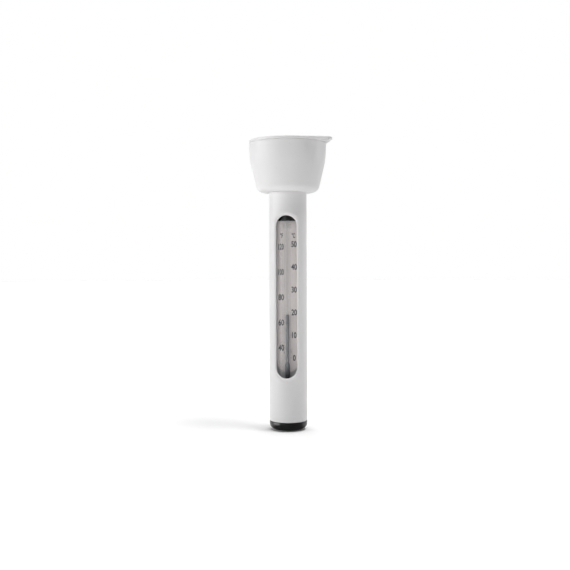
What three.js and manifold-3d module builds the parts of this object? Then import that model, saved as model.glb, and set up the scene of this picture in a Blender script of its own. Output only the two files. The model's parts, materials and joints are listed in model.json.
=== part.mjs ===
// Floating pool thermometer: a white float head on a white tube. A clear capsule behind the
// tube's window holds the scale plate and a liquid-in-glass thermometer. The bottom is weighted.
// Millimetres, +Z up. The origin is on the tube's axis at the end cap's flat foot, and the
// window faces -Y.
import * as THREE from 'three';
import { mergeVertices } from 'three/addons/utils/BufferGeometryUtils.js';
import Module from 'manifold-3d';

const wasm = await Module();
wasm.setup();

// ---- Driving dimensions -------------------------------------------------------------------
const TOTAL_H = 200;
const ROUND = 48; // facets round the large turned parts
const SMALL_ROUND = 24; // facets round the small ones
const SEAL_SIDES = 6; // facets round an O-ring's section
const FIT = 0.15; // clearance between turned parts that push together
const GAP = 0.2; // between parts that only lie next to each other
const LOOSE = 0.3; // round parts that slip into a pocket
const SEAL_SECTION = 0.6; // radius of an O-ring's section
const SEAL_GAP = 0.08; // between an O-ring and the bottom of its groove

const TUBE_R = 13;
const BORE_R = 11.2;
const SEAM_Z = 6; // the joint between the end cap and the tube
const TUBE_TOP_Z = 180;
const LEDGE_Z = 163; // where the bore narrows above the capsule
const LEDGE_R = 9.5;

const SLOT_HALF_W = 7.1;
const SLOT_LOW_Z = 36.4;
const SLOT_HIGH_Z = 147.7;
const BEVEL_X = 3.4; // how far the window's bevel spreads sideways, seen from the front
const BEVEL_Z = 2.0; // and how far past the slot's round ends
const LIP = 0.5; // square edge left inside the bevel

const HEAD_BASE_Z = 164;
const HEAD_R = 26.8;
const HEAD_WALL = 2;
const HEAD_TAPER = 13.3 * (Math.PI / 180);
const HEAD_CORNER = 5.6;
const TAPER_TOP = [25.7, 184]; // radius and height where the taper starts to turn upright
const OUTER_WALL = [[26.2, 186.7], [26.5, 189.5], [26.7, 193.5]]; // from there to the rim
const INNER_WALL = [[24.8, 192.4], [24.2, 186.9]]; // inside, from the rim down
const COLLAR_R = 15.3;
const COLLAR_TOP_Z = 176;

const LID_T = 1.8;
const LID_EASE = 0.45; // rounding of the lid's edges
const SKIRT_R = 24.55;
const SKIRT_WALL = 1.8;
const SKIRT_LOW_Z = 191;
const TAB_ANGLE = -30 * (Math.PI / 180); // the tether tab, seen from above, from +X
const TAB_END = 31.1; // from the axis to the centre of the tab's round end
const TAB_R = 4.9;
const EYE_R = 3;

const CAPSULE_R = 9.6;
const CAPSULE_BORE_R = 8.6;
const CAPSULE_LOW_Z = 20.5;
const CAPSULE_HIGH_Z = 158;
const PLUG_R = 8.35;
const FLANGE_R = 10.9;
const FLANGE_T = 2;
const TOP_PLUG_Z = 144.2; // lower face of the top plug, a straight black line in the window
const BOTTOM_PLUG_Z = 35.3; // step of the bottom plug, just under the window
const TONGUE_TOP_Z = 51; // the grey backing behind the plate's round end

const PLATE_HALF_W = 7.7;
const PLATE_LOW_Z = 39.6;
const PLATE_HIGH_Z = 148;
const PLATE_FRONT_Y = -3.2;
const PLATE_T = 1.2;

const GLASS_Y = -5.4; // the glass tube's own axis
const GLASS_R = 2.1;
const GLASS_LOW_Z = 34;
const GLASS_HIGH_Z = 148.4;
const GLASS_BORE_R = 1.1;
const BULB_BORE_R = 1.6;
const BULB_TOP_Z = 45.4;
const NECK_Z = 46.8; // the thread's fixed end
const BULB_CENTRE_Z = GLASS_LOW_Z + GLASS_R + 0.2; // of the round end of its cavity
const LIQUID_GAP = 0.1; // between the liquid and the glass

const ZERO_C_Z = 49.6; // height of the 0 degC mark
const MM_PER_C = 1.572;
const READING_C = 19;

const CLIP_ZS = { upper: 140.5, lower: 54.5 };
const CLIP_H = 3;
const CLIP_T = 0.4;

const CAP_CORNER = 4.5;
const SPIGOT_R = BORE_R - 0.25;
const SPIGOT_TOP_Z = 15.5;
const BALLAST_R = 8.7;
const BALLAST_LOW_Z = 2.8;
const BALLAST_TOP_Z = 15.8;

// ---- Materials ----------------------------------------------------------------------------
const white = { color: 0xdedddd, roughness: 0.38, metalness: 0 };
const black = { color: 0x18191a, roughness: 0.22, metalness: 0 };
const grey = { color: 0xe0e0e2, roughness: 0.7, metalness: 0 };
const rubber = { color: 0x202122, roughness: 0.75, metalness: 0 };
const clear = { color: 0xdfe6e8, roughness: 0.05, metalness: 0, transparent: true, opacity: 0.25 };
const printed = { color: 0xb1aca8, roughness: 0.5, metalness: 0 };
const spirit = { color: 0x3c4044, roughness: 0.2, metalness: 0 };
const steel = { color: 0x9a9c9e, roughness: 0.4, metalness: 1 };
const foam = { color: 0xcfccc4, roughness: 0.9, metalness: 0 };

// ---- Geometry helpers ---------------------------------------------------------------------
const model = new THREE.Group();

function part(name, geometry, look) {
  const mesh = new THREE.Mesh(geometry, new THREE.MeshStandardMaterial(look));
  mesh.name = name;
  model.add(mesh);
  return mesh;
}

// Six times the signed volume: negative when the faces point inwards.
function signedVolume(positions, index) {
  const [a, b, c] = [new THREE.Vector3(), new THREE.Vector3(), new THREE.Vector3()];
  let sum = 0;
  for (let i = 0; i < index.length; i += 3) {
    a.fromArray(positions, index[i] * 3);
    b.fromArray(positions, index[i + 1] * 3);
    c.fromArray(positions, index[i + 2] * 3);
    sum += a.dot(b.cross(c));
  }
  return sum;
}

// Merges shared vertices, drops collapsed triangles and turns the faces outwards.
function closed(geometry) {
  const bare = geometry.clone();
  bare.deleteAttribute('normal');
  bare.deleteAttribute('uv');
  const merged = mergeVertices(bare, 1e-4);
  const old = merged.index.array;
  const index = [];
  for (let i = 0; i < old.length; i += 3) {
    const [a, b, c] = [old[i], old[i + 1], old[i + 2]];
    if (a !== b && b !== c && a !== c) index.push(a, b, c);
  }
  if (signedVolume(merged.attributes.position.array, index) < 0) index.reverse();
  merged.setIndex(index);
  return merged;
}

// A turned solid from [radius, height] points that start and end on the axis.
function turned(points, facets = ROUND) {
  const profile = points.map(([r, z]) => new THREE.Vector2(r, z));
  return closed(new THREE.LatheGeometry(profile, facets).rotateX(Math.PI / 2));
}

// A turned ring: its profile closes on itself.
function turnedRing(points, facets = ROUND) {
  return turned([...points, points[0]], facets);
}

// Points of a round corner about a centre, from one angle to another, in degrees.
function arc([r, z], radius, from, to, steps = 6) {
  const points = [];
  for (let i = 0; i <= steps; i++) {
    const angle = THREE.MathUtils.degToRad(from + ((to - from) * i) / steps);
    points.push([r + radius * Math.cos(angle), z + radius * Math.sin(angle)]);
  }
  return points;
}

function box(x0, x1, y0, y1, z0, z1) {
  const geometry = new THREE.BoxGeometry(x1 - x0, y1 - y0, z1 - z0);
  return closed(geometry.translate((x0 + x1) / 2, (y0 + y1) / 2, (z0 + z1) / 2));
}

function solid(geometry) {
  const mesh = closed(geometry);
  return new wasm.Manifold(
    new wasm.Mesh({
      numProp: 3,
      vertProperties: new Float32Array(mesh.attributes.position.array),
      triVerts: new Uint32Array(mesh.index.array),
    }),
  );
}

function fromSolid(manifold) {
  const mesh = manifold.getMesh();
  const geometry = new THREE.BufferGeometry();
  geometry.setAttribute('position', new THREE.BufferAttribute(mesh.vertProperties, 3));
  geometry.setIndex(new THREE.BufferAttribute(mesh.triVerts, 1));
  return geometry;
}

// A shape drawn in X and Z, extruded along Y between two planes.
function frontExtrude(shape, yFront, yBack, curveSegments = 16) {
  const depth = yBack - yFront;
  const geometry = new THREE.ExtrudeGeometry(shape, { depth, bevelEnabled: false, curveSegments });
  return closed(geometry.rotateX(Math.PI / 2).translate(0, yBack, 0));
}

// An O-ring lying flat at a height.
function oRing(meanRadius, sectionRadius, z) {
  const ring = new THREE.TorusGeometry(meanRadius, sectionRadius, SEAL_SIDES, ROUND);
  return closed(ring.translate(0, 0, z));
}

// The O-ring in the middle of a groove whose bottom has that radius.
function grooveSeal(bottomRadius, groove) {
  return oRing(bottomRadius + SEAL_GAP + SEAL_SECTION, SEAL_SECTION, (groove.low + groove.high) / 2);
}

// ---- Tube and window ----------------------------------------------------------------------
// The window's outline in X and Z, spread outwards by the bevel's share.
function windowOutline(spread, steps = 16) {
  const points = [];
  const ends = [
    [SLOT_HIGH_Z - SLOT_HALF_W, 0],
    [SLOT_LOW_Z + SLOT_HALF_W, Math.PI],
  ];
  for (const [z, start] of ends) {
    for (let i = 0; i <= steps; i++) {
      const angle = start + (Math.PI * i) / steps;
      const x = (SLOT_HALF_W + BEVEL_X * spread) * Math.cos(angle);
      points.push([x, z + (SLOT_HALF_W + BEVEL_Z * spread) * Math.sin(angle)]);
    }
  }
  return points;
}

// The tool that cuts the slot and its bevel: four outlines joined in order from the bore
// outwards, the middle two lying on the tube's own curve.
function windowCutter() {
  const overshoot = 0.12;
  const spreadOut = 1 + overshoot / (TUBE_R - BORE_R - LIP);
  const onCurve = (radius) => (x) => -Math.sqrt(radius * radius - x * x);
  const layers = [
    { spread: 0, y: () => -4 },
    { spread: 0, y: onCurve(BORE_R + LIP) },
    { spread: spreadOut, y: onCurve(TUBE_R + overshoot) },
    { spread: spreadOut, y: () => -TUBE_R - 3 },
  ];
  const rings = layers.map(({ spread, y }) => windowOutline(spread).map(([x, z]) => [x, y(x), z]));
  const count = rings[0].length;
  const positions = rings.flat(2);
  const middleZ = (SLOT_LOW_Z + SLOT_HIGH_Z) / 2;
  positions.push(0, -4, middleZ, 0, -TUBE_R - 3, middleZ);
  const innerHub = count * rings.length;
  const outerHub = innerHub + 1;
  const lastRing = count * (rings.length - 1);
  const index = [];
  for (let i = 0; i < count; i++) {
    const next = (i + 1) % count;
    for (let ring = 0; ring < rings.length - 1; ring++) {
      const [a, b] = [ring * count + i, ring * count + next];
      index.push(a, b, b + count, a, b + count, a + count);
    }
    index.push(innerHub, next, i);
    index.push(outerHub, lastRing + i, lastRing + next);
  }
  const geometry = new THREE.BufferGeometry();
  geometry.setAttribute('position', new THREE.Float32BufferAttribute(positions, 3));
  geometry.setIndex(index);
  return geometry;
}

const LOCK_GROOVE = { r: 12.1, low: COLLAR_TOP_Z + 0.1, high: COLLAR_TOP_Z + 2.3 };

function bodyTube() {
  const shell = turned([
    [0, TUBE_TOP_Z - 2],
    [LEDGE_R, TUBE_TOP_Z - 2],
    [LEDGE_R, LEDGE_Z],
    [BORE_R, LEDGE_Z],
    [BORE_R, SEAM_Z + FIT],
    [TUBE_R - 0.2, SEAM_Z + FIT],
    [TUBE_R, SEAM_Z + FIT + 0.2],
    [TUBE_R, LOCK_GROOVE.low],
    [LOCK_GROOVE.r, LOCK_GROOVE.low],
    [LOCK_GROOVE.r, LOCK_GROOVE.high],
    [TUBE_R, LOCK_GROOVE.high],
    [TUBE_R, TUBE_TOP_Z - 0.6],
    [TUBE_R - 0.6, TUBE_TOP_Z],
    [0, TUBE_TOP_Z],
  ]);
  return fromSolid(solid(shell).subtract(solid(windowCutter())));
}

// ---- Float head ---------------------------------------------------------------------------
const NECK_GROOVE = { r: COLLAR_R - 0.9, low: 168.7, high: 170.5 };

function floatCup() {
  const taperDegrees = THREE.MathUtils.radToDeg(HEAD_TAPER);
  const rim = TOTAL_H - LID_T - GAP;
  const [taperR, taperZ] = TAPER_TOP;
  // The outer corner's centre lies so that the arc runs straight into the tapered wall.
  const cornerZ = HEAD_BASE_Z + HEAD_CORNER;
  const touchZ = cornerZ - HEAD_CORNER * Math.sin(HEAD_TAPER);
  const touchR = taperR - (taperZ - touchZ) * Math.tan(HEAD_TAPER);
  const cornerR = touchR - HEAD_CORNER * Math.cos(HEAD_TAPER);
  const outside = [
    ...arc([cornerR, cornerZ], HEAD_CORNER, -90, -taperDegrees, 6),
    [taperR, taperZ],
    ...OUTER_WALL,
    [HEAD_R - 0.1, rim],
  ];
  const innerCorner = HEAD_CORNER - HEAD_WALL;
  const inside = [
    [HEAD_R - HEAD_WALL, rim],
    ...INNER_WALL,
    [taperR - HEAD_WALL, taperZ],
    ...arc([cornerR, cornerZ], innerCorner, -taperDegrees, -90, 3),
    [COLLAR_R, HEAD_BASE_Z + HEAD_WALL],
    [COLLAR_R, COLLAR_TOP_Z],
    [TUBE_R + FIT, COLLAR_TOP_Z],
    [TUBE_R + FIT, NECK_GROOVE.high],
    [NECK_GROOVE.r, NECK_GROOVE.high],
    [NECK_GROOVE.r, NECK_GROOVE.low],
    [TUBE_R + FIT, NECK_GROOVE.low],
    [TUBE_R + FIT, HEAD_BASE_Z],
  ];
  return turnedRing([...outside, ...inside]);
}

// The lid's plan: the round disc and the tab's round end joined by their common tangents.
function tearDrop(discR, endR) {
  const lean = Math.acos((discR - endR) / TAB_END);
  const endX = TAB_END * Math.cos(TAB_ANGLE);
  const endY = TAB_END * Math.sin(TAB_ANGLE);
  const shape = new THREE.Shape();
  shape.absarc(0, 0, discR, TAB_ANGLE + lean, TAB_ANGLE - lean + 2 * Math.PI, false);
  shape.absarc(endX, endY, endR, TAB_ANGLE - lean, TAB_ANGLE + lean, false);
  return shape;
}

// A disc of the lid's plan between two heights, its edges eased.
function tearDropPlate(low, high, ease) {
  const shape = tearDrop(HEAD_R - ease, TAB_R - ease);
  const geometry = new THREE.ExtrudeGeometry(shape, {
    depth: high - low - 2 * ease,
    bevelEnabled: true,
    bevelThickness: ease,
    bevelSize: ease,
    bevelSegments: 2,
    curveSegments: 24,
  });
  return geometry.translate(0, 0, low + ease);
}

const LID_GROOVE = { r: SKIRT_R - 1.15, low: 193.1, high: 195.1 };

function lidSkirt() {
  const inner = SKIRT_R - SKIRT_WALL;
  const top = TOTAL_H - LID_T / 2;
  return turnedRing([
    [inner, SKIRT_LOW_Z],
    [SKIRT_R - 0.5, SKIRT_LOW_Z],
    [SKIRT_R, SKIRT_LOW_Z + 0.8],
    [SKIRT_R, LID_GROOVE.low],
    [LID_GROOVE.r, LID_GROOVE.low],
    [LID_GROOVE.r, LID_GROOVE.high],
    [SKIRT_R, LID_GROOVE.high],
    [SKIRT_R, top],
    [inner, top],
  ]);
}

function floatLid() {
  const endX = TAB_END * Math.cos(TAB_ANGLE);
  const endY = TAB_END * Math.sin(TAB_ANGLE);
  const eye = new THREE.CylinderGeometry(EYE_R, EYE_R, 20, SMALL_ROUND);
  eye.rotateX(Math.PI / 2).translate(endX, endY, TOTAL_H);
  const disc = solid(tearDropPlate(TOTAL_H - LID_T, TOTAL_H, LID_EASE));
  return fromSolid(disc.add(solid(lidSkirt())).subtract(solid(eye)));
}

// An open spring ring that sits in the tube's groove above the collar.
function neckLockRing() {
  const [inner, outer] = [LOCK_GROOVE.r + GAP, COLLAR_R - 2 * GAP];
  const halfGap = 0.3; // radians
  const shape = new THREE.Shape();
  shape.absarc(0, 0, outer, halfGap, 2 * Math.PI - halfGap, false);
  shape.absarc(0, 0, inner, 2 * Math.PI - halfGap, halfGap, true);
  const depth = LOCK_GROOVE.high - LOCK_GROOVE.low - 2 * LOOSE;
  const ring = new THREE.ExtrudeGeometry(shape, { depth, bevelEnabled: false, curveSegments: 32 });
  return closed(ring.translate(0, 0, LOCK_GROOVE.low + LOOSE));
}

// ---- Capsule ------------------------------------------------------------------------------
const WIDE = 12; // past the capsule on both sides

function clearCapsule() {
  return turnedRing([
    [CAPSULE_BORE_R, CAPSULE_LOW_Z],
    [CAPSULE_R, CAPSULE_LOW_Z],
    [CAPSULE_R, CAPSULE_HIGH_Z],
    [CAPSULE_BORE_R, CAPSULE_HIGH_Z],
  ]);
}

// A socket for the glass tube's end.
function glassSocket(low, high) {
  const r = GLASS_R + LOOSE;
  const socket = new THREE.CylinderGeometry(r, r, high - low, SMALL_ROUND);
  return solid(socket.rotateX(Math.PI / 2).translate(0, GLASS_Y, (low + high) / 2));
}

function topPlug() {
  const flangeZ = CAPSULE_HIGH_Z + GAP;
  const plug = solid(turned([
    [0, TOP_PLUG_Z],
    [PLUG_R, TOP_PLUG_Z],
    [PLUG_R, flangeZ],
    [FLANGE_R, flangeZ],
    [FLANGE_R, flangeZ + FLANGE_T],
    [0, flangeZ + FLANGE_T],
  ]));
  const [front, back] = [PLATE_FRONT_Y - GAP, PLATE_FRONT_Y + PLATE_T + LOOSE];
  const below = TOP_PLUG_Z - 2;
  const slot = solid(box(-WIDE, WIDE, front, back, below, PLATE_HIGH_Z + LOOSE));
  return fromSolid(plug.subtract(slot).subtract(glassSocket(below, GLASS_HIGH_Z + LOOSE)));
}

function bottomPlug() {
  const flangeZ = CAPSULE_LOW_Z - GAP;
  const plug = solid(turned([
    [0, flangeZ - FLANGE_T],
    [FLANGE_R, flangeZ - FLANGE_T],
    [FLANGE_R, flangeZ],
    [PLUG_R, flangeZ],
    [PLUG_R, TONGUE_TOP_Z],
    [0, TONGUE_TOP_Z],
  ]));
  const tongueFront = PLATE_FRONT_Y + PLATE_T + LOOSE;
  const front = solid(box(-WIDE, WIDE, -WIDE, tongueFront, BOTTOM_PLUG_Z, TONGUE_TOP_Z + 2));
  return fromSolid(plug.subtract(front).subtract(glassSocket(GLASS_LOW_Z - LOOSE, TONGUE_TOP_Z)));
}

// ---- Scale plate and glass thermometer ----------------------------------------------------
const CLIP_INNER_R = GLASS_R + 0.15;
const CLIP_LEG_X = CLIP_INNER_R + CLIP_T / 2;

function scalePlate() {
  const outline = new THREE.Shape();
  outline.moveTo(PLATE_HALF_W, PLATE_HIGH_Z);
  outline.lineTo(-PLATE_HALF_W, PLATE_HIGH_Z);
  outline.absarc(0, PLATE_LOW_Z + PLATE_HALF_W, PLATE_HALF_W, Math.PI, 2 * Math.PI, false);
  const plate = frontExtrude(outline, PLATE_FRONT_Y, PLATE_FRONT_Y + PLATE_T, 24);
  let cut = solid(plate);
  const legHole = CLIP_T / 2 + GAP;
  const half = CLIP_H / 2 + GAP;
  for (const z of Object.values(CLIP_ZS)) {
    for (const x of [-CLIP_LEG_X, CLIP_LEG_X]) {
      cut = cut.subtract(solid(box(x - legHole, x + legHole, -6, 0, z - half, z + half)));
    }
  }
  return fromSolid(cut);
}

// A strap over the glass tube, its legs through the plate and folded outwards behind it.
function tubeClip(z) {
  const outer = CLIP_INNER_R + CLIP_T;
  const back = PLATE_FRONT_Y + PLATE_T + 0.25;
  const foot = 1.6;
  const strap = new THREE.Shape();
  strap.moveTo(outer + foot, back + CLIP_T);
  strap.lineTo(CLIP_INNER_R, back + CLIP_T);
  strap.lineTo(CLIP_INNER_R, GLASS_Y);
  strap.absarc(0, GLASS_Y, CLIP_INNER_R, 0, -Math.PI, true);
  strap.lineTo(-CLIP_INNER_R, back + CLIP_T);
  strap.lineTo(-outer - foot, back + CLIP_T);
  strap.lineTo(-outer - foot, back);
  strap.lineTo(-outer, back);
  strap.lineTo(-outer, GLASS_Y);
  strap.absarc(0, GLASS_Y, outer, -Math.PI, 0, false);
  strap.lineTo(outer, back);
  strap.lineTo(outer + foot, back);
  const bent = new THREE.ExtrudeGeometry(strap, {
    depth: CLIP_H,
    bevelEnabled: false,
    curveSegments: 12,
  });
  return closed(bent.translate(0, 0, z - CLIP_H / 2));
}

// Drawn from the closed bulb upwards; the bore is open at the hidden top end.
function glassTube() {
  const profile = [
    ...arc([0, GLASS_LOW_Z + GLASS_R], GLASS_R, -90, 0, 4),
    [GLASS_R, GLASS_HIGH_Z],
    [GLASS_BORE_R, GLASS_HIGH_Z],
    [GLASS_BORE_R, NECK_Z],
    [BULB_BORE_R, BULB_TOP_Z],
    ...arc([0, BULB_CENTRE_Z], BULB_BORE_R, 0, -90, 4),
  ];
  profile[0][0] = 0;
  profile[profile.length - 1][0] = 0;
  return turned(profile, SMALL_ROUND).translate(0, GLASS_Y, 0);
}

const THREAD_R = GLASS_BORE_R - LIQUID_GAP;

function bulbLiquid() {
  const r = BULB_BORE_R - LIQUID_GAP;
  const profile = [
    ...arc([0, BULB_CENTRE_Z], r, -90, 0, 4),
    [r, BULB_TOP_Z - LIQUID_GAP],
    [THREAD_R, NECK_Z - LIQUID_GAP],
    [0, NECK_Z - LIQUID_GAP],
  ];
  profile[0][0] = 0;
  return turned(profile, SMALL_ROUND).translate(0, GLASS_Y, 0);
}

const READING_Z = ZERO_C_Z + READING_C * MM_PER_C;
const MENISCUS_H = 1.2;

function liquidThread() {
  const top = READING_Z - MENISCUS_H - LIQUID_GAP / 2;
  const points = [[0, NECK_Z], [THREAD_R, NECK_Z], [THREAD_R, top], [0, top]];
  return turned(points, SMALL_ROUND).translate(0, GLASS_Y, 0);
}

function liquidMeniscus() {
  const dish = 0.32; // how far the middle hangs below the rim
  const profile = [
    [0, READING_Z - MENISCUS_H],
    [THREAD_R, READING_Z - MENISCUS_H],
    [THREAD_R, READING_Z],
    [THREAD_R * 0.6, READING_Z - dish * 0.7],
    [0, READING_Z - dish],
  ];
  return turned(profile, SMALL_ROUND).translate(0, GLASS_Y, 0);
}

// ---- Weighted end -------------------------------------------------------------------------
const CAP_GROOVE = { r: SPIGOT_R - 1.1, low: 9.6, high: 11.4 };

function endCap() {
  return turned([
    [0, 0],
    ...arc([TUBE_R - CAP_CORNER, CAP_CORNER], CAP_CORNER, -90, 0, 5),
    [TUBE_R, SEAM_Z - 0.2],
    [TUBE_R - 0.2, SEAM_Z],
    [SPIGOT_R, SEAM_Z],
    [SPIGOT_R, CAP_GROOVE.low],
    [CAP_GROOVE.r, CAP_GROOVE.low],
    [CAP_GROOVE.r, CAP_GROOVE.high],
    [SPIGOT_R, CAP_GROOVE.high],
    [SPIGOT_R, SPIGOT_TOP_Z - 0.6],
    [SPIGOT_R - 0.6, SPIGOT_TOP_Z],
    [BALLAST_R + LOOSE, SPIGOT_TOP_Z],
    [BALLAST_R + LOOSE, BALLAST_LOW_Z - LOOSE],
    [0, BALLAST_LOW_Z - LOOSE],
  ]);
}

function ballastWeight() {
  const edge = 0.8;
  return turned([
    [0, BALLAST_LOW_Z],
    [BALLAST_R - edge, BALLAST_LOW_Z],
    [BALLAST_R, BALLAST_LOW_Z + edge],
    [BALLAST_R, BALLAST_TOP_Z - edge],
    [BALLAST_R - edge, BALLAST_TOP_Z],
    [0, BALLAST_TOP_Z],
  ]);
}

function ballastPad() {
  const high = CAPSULE_LOW_Z - GAP - FLANGE_T - GAP;
  const low = BALLAST_TOP_Z + GAP;
  const r = BORE_R - LOOSE;
  return turned([[0, low], [r, low], [r, high], [0, high]]);
}

function capsulePad() {
  const low = CAPSULE_HIGH_Z + GAP + FLANGE_T + GAP;
  const high = LEDGE_Z - GAP;
  const [inner, outer] = [6, BORE_R - LOOSE];
  return turnedRing([[inner, low], [outer, low], [outer, high], [inner, high]]);
}

// ---- Assembly -----------------------------------------------------------------------------
const sealR = (CAPSULE_R + BORE_R) / 2;
const sealSection = (BORE_R - CAPSULE_R) / 2 - 0.1;
const upperSealZ = CAPSULE_HIGH_Z - 5;
const lowerSealZ = CAPSULE_LOW_Z + 7;

part('body_tube', bodyTube(), white);
part('float_cup', floatCup(), white);
part('float_lid', floatLid(), white);
part('lid_seal', grooveSeal(LID_GROOVE.r, LID_GROOVE), rubber);
part('neck_seal', grooveSeal(TUBE_R, NECK_GROOVE), rubber);
part('neck_lock_ring', neckLockRing(), steel);
part('clear_capsule', clearCapsule(), clear);
part('capsule_top_plug', topPlug(), rubber);
part('capsule_bottom_plug', bottomPlug(), grey);
part('capsule_seal_upper', oRing(sealR, sealSection, upperSealZ), rubber);
part('capsule_seal_lower', oRing(sealR, sealSection, lowerSealZ), rubber);
part('capsule_pad', capsulePad(), foam);
part('scale_plate', scalePlate(), printed);
part('glass_tube', glassTube(), clear);
part('bulb_liquid', bulbLiquid(), spirit);
part('liquid_thread', liquidThread(), spirit);
part('liquid_meniscus', liquidMeniscus(), spirit);
for (const [place, z] of Object.entries(CLIP_ZS)) part(`tube_clip_${place}`, tubeClip(z), clear);
part('end_cap', endCap(), black);
part('end_cap_seal', grooveSeal(CAP_GROOVE.r, CAP_GROOVE), rubber);
part('ballast_weight', ballastWeight(), steel);
part('ballast_pad', ballastPad(), foam);

export default model;
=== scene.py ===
"""The looks of the floating pool thermometer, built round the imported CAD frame.

Lengths are millimetres, and "* MM" turns them into Blender's metres. The studio's own lengths,
of the lamps and the floor, are metres. The object stands on the origin, +Z up, and its scale
window faces -Y."""

import json
import math

import bpy
import bmesh
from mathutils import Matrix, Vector
from mathutils.geometry import tessellate_polygon


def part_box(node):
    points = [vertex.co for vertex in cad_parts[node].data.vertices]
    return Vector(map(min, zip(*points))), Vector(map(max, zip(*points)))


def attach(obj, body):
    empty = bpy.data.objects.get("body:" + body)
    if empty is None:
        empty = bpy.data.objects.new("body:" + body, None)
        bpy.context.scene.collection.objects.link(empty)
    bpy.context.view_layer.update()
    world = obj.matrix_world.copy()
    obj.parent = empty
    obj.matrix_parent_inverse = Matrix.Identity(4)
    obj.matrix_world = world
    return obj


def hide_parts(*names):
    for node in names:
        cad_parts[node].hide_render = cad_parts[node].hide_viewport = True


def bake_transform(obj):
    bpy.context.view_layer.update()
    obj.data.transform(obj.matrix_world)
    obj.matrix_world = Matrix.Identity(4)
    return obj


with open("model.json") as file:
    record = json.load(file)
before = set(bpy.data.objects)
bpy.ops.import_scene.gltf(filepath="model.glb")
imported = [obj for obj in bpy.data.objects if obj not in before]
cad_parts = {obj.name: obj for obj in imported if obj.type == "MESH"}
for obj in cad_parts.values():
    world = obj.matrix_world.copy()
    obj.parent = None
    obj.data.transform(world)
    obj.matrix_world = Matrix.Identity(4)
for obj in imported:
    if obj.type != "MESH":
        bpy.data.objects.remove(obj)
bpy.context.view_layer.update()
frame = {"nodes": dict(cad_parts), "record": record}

MM = 0.001
HOUSING = "housing"
LEVEL = "liquid_level"


def mm_box(node):
    """A CAD node's lowest and highest corners, in millimetres."""
    low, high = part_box(node)
    return low / MM, high / MM


# ---- Sizes read from the frame -------------------------------------------------------------
tube_low, tube_high = mm_box("body_tube")
cup_low, cup_high = mm_box("float_cup")
lid_low, lid_high = mm_box("float_lid")
_, cap_high = mm_box("end_cap")
capsule_low, capsule_high = mm_box("clear_capsule")
plate_low, plate_high = mm_box("scale_plate")
glass_low, glass_high = mm_box("glass_tube")
bulb_low, bulb_high = mm_box("bulb_liquid")
thread_low, _ = mm_box("liquid_thread")
level_low, level_high = mm_box("liquid_meniscus")

INSIDE = 0.01  # keeps the head's round outline within the CAD's box
TUBE_R = tube_high.x
BORE_R = 11.2  # of the tube, round the capsule
CAPSULE_R = capsule_high.x
CAPSULE_WALL = 1.0
HEAD_R = -lid_low.x - INSIDE
GLASS_R = glass_high.x
GLASS_Y = (glass_low.y + glass_high.y) / 2
PLATE_FRONT = plate_low.y
PLATE_BACK = plate_high.y

# ---- The window, as seen from the front ----------------------------------------------------
SLOT_HALF_W = 7.1
SLOT_LOW = 36.4
SLOT_HIGH = 147.7
BEVEL_X = 3.4  # the bevel's width at the window's sides
BEVEL_Z = 2.0  # the bevel's width at its round ends
LIP_R = BORE_R + 0.5

# ---- The scale -----------------------------------------------------------------------------
ZERO_C_Z = 49.6
MM_PER_C = 1.572
COLUMN_X = 4.5  # degrees Celsius at the right, Fahrenheit at the left
DIGIT_H = 4.1
UNIT_Z = 134.2
UNIT_X = 4.1
UNIT_H = 3.2
STROKE = 0.035  # extra boldness, as a share of the height
CAPITAL_SHARE = 0.73  # a capital's height in the font, as a share of the font's size
INK_T = 0.05  # thickness of the printed ink

AROUND = 160  # columns round a large turned piece
FINE_AROUND = 48  # columns round a small one


# ---- Camera --------------------------------------------------------------------------------
VIEW_AZIMUTH = 6.0  # the camera stands a little to the right of the window's own front
CAMERA_DISTANCE = 597
CAMERA_HEIGHT = 113.8
CAMERA_LEAN = 0.19  # degrees


def towards(azimuth, elevation):
    """A direction: azimuth in degrees from the camera's side towards the right."""
    a, e = math.radians(azimuth + VIEW_AZIMUTH), math.radians(elevation)
    return Vector((math.sin(a) * math.cos(e), -math.cos(a) * math.cos(e), math.sin(e)))


def make_camera():
    """Level with the window's upper half, far enough that verticals stay vertical."""
    data = bpy.data.cameras.new("camera")
    data.sensor_width = 36
    data.lens = 54.25
    data.shift_x = -0.0053
    data.shift_y = -0.0351
    data.clip_start = 0.01
    camera = bpy.data.objects.new("camera", data)
    bpy.context.scene.collection.objects.link(camera)
    camera.location = towards(0, 0) * CAMERA_DISTANCE * MM + Vector((0, 0, CAMERA_HEIGHT * MM))
    camera.rotation_euler = (math.pi / 2, math.radians(CAMERA_LEAN), math.radians(VIEW_AZIMUTH))
    bpy.context.scene.camera = camera


make_camera()


# ---- Mesh helpers --------------------------------------------------------------------------
def mesh_piece(name, verts, faces, slot, body=HOUSING, replaces=(), crease=32):
    """A piece from points in millimetres: welded, its faces outwards, smooth below the crease."""
    bm = bmesh.new()
    made = [bm.verts.new(Vector(v) * MM) for v in verts]
    for face in faces:
        corners = [made[i] for i in dict.fromkeys(face)]
        if len(corners) > 2:
            bm.faces.new(corners)
    bmesh.ops.remove_doubles(bm, verts=bm.verts, dist=1e-6)
    bmesh.ops.dissolve_degenerate(bm, dist=1e-7, edges=bm.edges)
    bmesh.ops.recalc_face_normals(bm, faces=bm.faces)
    mesh = bpy.data.meshes.new(name)
    bm.to_mesh(mesh)
    bm.free()
    for polygon in mesh.polygons:
        polygon.use_smooth = True
    mesh.set_sharp_from_angle(angle=math.radians(crease))
    piece = bpy.data.objects.new(name, mesh)
    bpy.context.scene.collection.objects.link(piece)
    if body:
        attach(piece, body)
    if replaces:
        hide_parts(*replaces)
    return piece


def curve(start, bend, end, steps):
    """Points of one smooth bend from start to end, pulled towards the bend."""
    start, bend, end = Vector(start), Vector(bend), Vector(end)
    shares = [i / steps for i in range(steps + 1)]
    return [tuple(start * (1 - t) ** 2 + bend * 2 * t * (1 - t) + end * t * t) for t in shares]


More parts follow.
